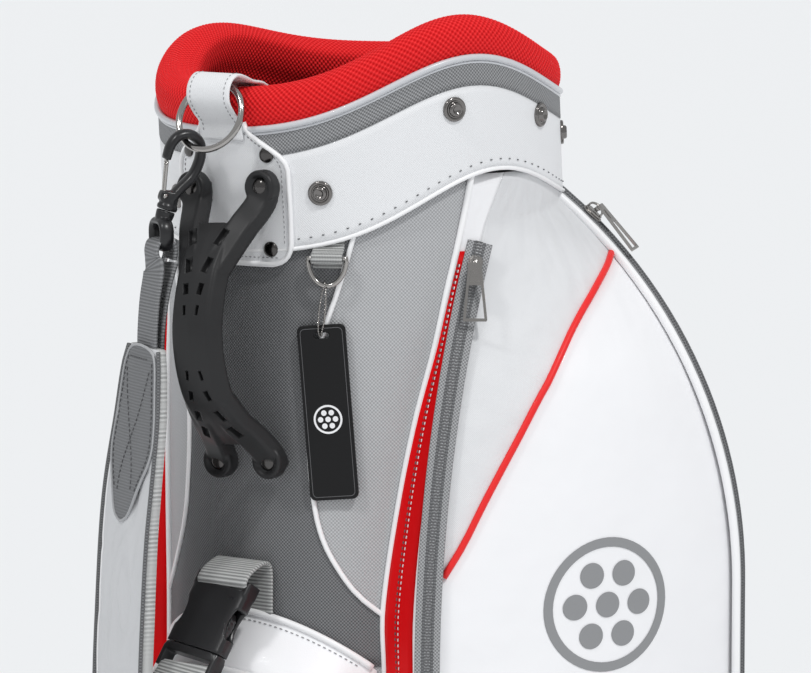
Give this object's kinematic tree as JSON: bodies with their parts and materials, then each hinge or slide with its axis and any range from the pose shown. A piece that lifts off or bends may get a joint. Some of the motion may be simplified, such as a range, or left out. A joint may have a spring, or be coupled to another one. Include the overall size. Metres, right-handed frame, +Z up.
{
  "type": "golf bag",
  "caption": "Cylindrical golf club bag with a padded saddle-shaped collar, carry handle, shoulder strap and large zipped side pockets.",
  "frame": {"origin": "centre of the base's flat bottom face", "axes": "+Z up along the barrel; the spine, handle and strap face -Y; the pocket with the name tag beside it is at +X"},
  "size_m": [0.4094, 0.3798, 0.8961],
  "materials": {
    "barrel_board": "rolled board under the panels",
    "base_plastic": "fine grained moulded",
    "black_plastic": "satin moulded",
    "black_rubber": "satin",
    "chrome": "polished",
    "collar_webbing": "coarse twill webbing",
    "divider_padding": "brushed",
    "frame_plastic": "moulded",
    "gunmetal": "dark nickel",
    "lining_cloth": "plain weave",
    "pad_cloth": "matte coated cloth",
    "patch_cloth": "plain weave",
    "red_leatherette": "smooth satin",
    "red_mesh": "open spacer mesh",
    "silver_piping": "satin silver",
    "stay_metal": "satin",
    "strap_webbing": "ribbed webbing",
    "tag_leather": "smooth matte",
    "white_leatherette": "fine woven emboss, satin",
    "zip_metal": "polished nickel",
    "zip_tape": "woven tape with coil"
  },
  "bodies": {
    "root": {"ball_pocket": "white_leatherette", "ball_zip": "zip_tape", "barrel_shell": "barrel_board", "base_cup": "base_plastic", "buckle_anchor_web": "strap_webbing", "buckle_female": "black_plastic", "collar_band": "white_leatherette", "collar_tape": "collar_webbing", "cuff_piping": "silver_piping", "d_ring_web": "strap_webbing", "divider_bars": "divider_padding", "divider_cross_sheets": "lining_cloth", "divider_long_sheet": "lining_cloth", "handle_grip": "black_rubber", "handle_patch": "white_leatherette", "handle_rivets": "gunmetal", "hood_snaps": "chrome", "left_back_zip": "zip_tape", "left_front_zip": "zip_tape", "left_gusset": "red_leatherette", "left_pocket": "white_leatherette", "patch_rivets": "gunmetal", "right_back_zip": "zip_tape", "right_front_zip": "zip_tape", "right_gusset": "red_leatherette", "right_pocket": "white_leatherette", "shoulder_pad": "pad_cloth", "spine_pocket": "white_leatherette", "stay_rods": "stay_metal", "strap_adjuster": "black_plastic", "strap_patch": "patch_cloth", "strap_web_end": "strap_webbing", "strap_web_lower": "strap_webbing", "strap_web_top": "strap_webbing", "top_cuff": "red_mesh", "top_frame": "frame_plastic"},
    "right_front_slider": {"right_front_slider": "zip_metal"},
    "right_front_pull": {"right_front_pull": "zip_metal"},
    "left_front_slider": {"left_front_slider": "zip_metal"},
    "left_front_pull": {"left_front_pull": "zip_metal"},
    "right_back_slider": {"right_back_slider": "zip_metal"},
    "right_back_pull": {"right_back_pull": "zip_metal"},
    "left_back_slider": {"left_back_slider": "zip_metal"},
    "left_back_pull": {"left_back_pull": "zip_metal"},
    "ball_slider": {"ball_slider": "zip_metal"},
    "ball_pull": {"ball_pull": "zip_metal"},
    "buckle_male": {"buckle_male": "black_plastic"},
    "buckle_prong_left": {"buckle_prong_left": "black_plastic"},
    "buckle_prong_right": {"buckle_prong_right": "black_plastic"},
    "strap_ring": {"strap_ring": "chrome", "swivel_eye": "black_plastic"},
    "hook": {"hook_body": "black_plastic"},
    "hook_gate": {"hook_gate": "chrome"},
    "d_ring": {"d_ring": "chrome"},
    "name_tag": {"tag_chain": "chrome", "name_tag": "tag_leather"}
  },
  "joints": [
    {"name": "right_front_zip_travel", "type": "hinge", "parent": "root", "child": "right_front_slider", "pos_m": [0.1243, 0.583, 0.48], "axis": [0.9996, 0, 0.03], "range_deg": [0, 22.8]},
    {"name": "right_front_pull_swing", "type": "hinge", "parent": "right_front_slider", "child": "right_front_pull", "pos_m": [0.12142, -0.04872, 0.75054], "axis": [-0.8159, -0.5353, 0.2187], "range_deg": [0, 75]},
    {"name": "left_front_zip_travel", "type": "hinge", "parent": "root", "child": "left_front_slider", "pos_m": [-0.1243, 0.583, 0.48], "axis": [0.9996, 0, -0.03], "range_deg": [0, 22.8]},
    {"name": "left_front_pull_swing", "type": "hinge", "parent": "left_front_slider", "child": "left_front_pull", "pos_m": [-0.12142, -0.04872, 0.75054], "axis": [-0.8159, 0.5353, -0.2187], "range_deg": [0, 75]},
    {"name": "right_back_zip_travel", "type": "hinge", "parent": "root", "child": "right_back_slider", "pos_m": [-0.07519, -0.0091, 0.55], "axis": [-0.4109, 0.9117, 0], "range_deg": [0, 46.2]},
    {"name": "right_back_pull_swing", "type": "hinge", "parent": "right_back_slider", "child": "right_back_pull", "pos_m": [0.11878, 0.07793, 0.77423], "axis": [0.3859, -0.9221, -0.0287], "range_deg": [0, 75]},
    {"name": "left_back_zip_travel", "type": "hinge", "parent": "root", "child": "left_back_slider", "pos_m": [0.07519, -0.0091, 0.55], "axis": [-0.4109, -0.9117, 0], "range_deg": [0, 46.2]},
    {"name": "left_back_pull_swing", "type": "hinge", "parent": "left_back_slider", "child": "left_back_pull", "pos_m": [-0.11878, 0.07793, 0.77423], "axis": [0.3859, 0.9221, 0.0287], "range_deg": [0, 75]},
    {"name": "ball_zip_travel", "type": "slide", "parent": "root", "child": "ball_slider", "axis": [0, 0, -1], "range_m": [0, 0.19]},
    {"name": "ball_pull_swing", "type": "hinge", "parent": "ball_slider", "child": "ball_pull", "pos_m": [0.04585, 0.17821, 0.3616], "axis": [0.9781, -0.2079, 0], "range_deg": [0, 75]},
    {"name": "buckle_release", "type": "slide", "parent": "root", "child": "buckle_male", "axis": [-0.127, -0.5099, -0.8508], "range_m": [0, 0.012], "deforming": ["strap_web_end"]},
    {"name": "prong_squeeze_left", "type": "slide", "parent": "buckle_male", "child": "buckle_prong_left", "axis": [0.9919, -0.0653, -0.1089], "range_m": [0, 0.0022], "stiffness_N_per_m": 900},
    {"name": "prong_squeeze_right", "type": "slide", "parent": "buckle_male", "child": "buckle_prong_right", "axis": [-0.9919, 0.0653, 0.1089], "range_m": [0, 0.0022], "stiffness_N_per_m": 900},
    {"name": "ring_swing", "type": "hinge", "parent": "root", "child": "strap_ring", "pos_m": [-0.00524, -0.13121, 0.85703], "axis": [-0.9903, -0.1392, 0], "range_deg": [0, 12], "deforming": ["strap_web_top"]},
    {"name": "hook_swivel", "type": "hinge", "parent": "strap_ring", "child": "hook", "pos_m": [-0.02247, -0.1588, 0.78265], "axis": [0.2057, 0.2372, 0.9494], "range_deg": [0, 8]},
    {"name": "gate_press", "type": "hinge", "parent": "hook", "child": "hook_gate", "pos_m": [-0.02266, -0.16038, 0.79172], "axis": [-0.8707, 0.4873, 0.0669], "range_deg": [0, 22], "stiffness_Nm_per_rad": 0.02},
    {"name": "d_ring_swing", "type": "hinge", "parent": "root", "child": "d_ring", "pos_m": [0.05974, -0.11003, 0.7557], "axis": [-0.8788, -0.4772, 0], "range_deg": [0, 50]},
    {"name": "tag_swing", "type": "hinge", "parent": "d_ring", "child": "name_tag", "pos_m": [0.05926, -0.11166, 0.7396], "axis": [-0.8788, -0.4772, 0], "range_deg": [0, 50]}
  ],
  "couplings": [
    {"joint": "prong_squeeze_right", "follows": "prong_squeeze_left", "ratio": 1}
  ]
}
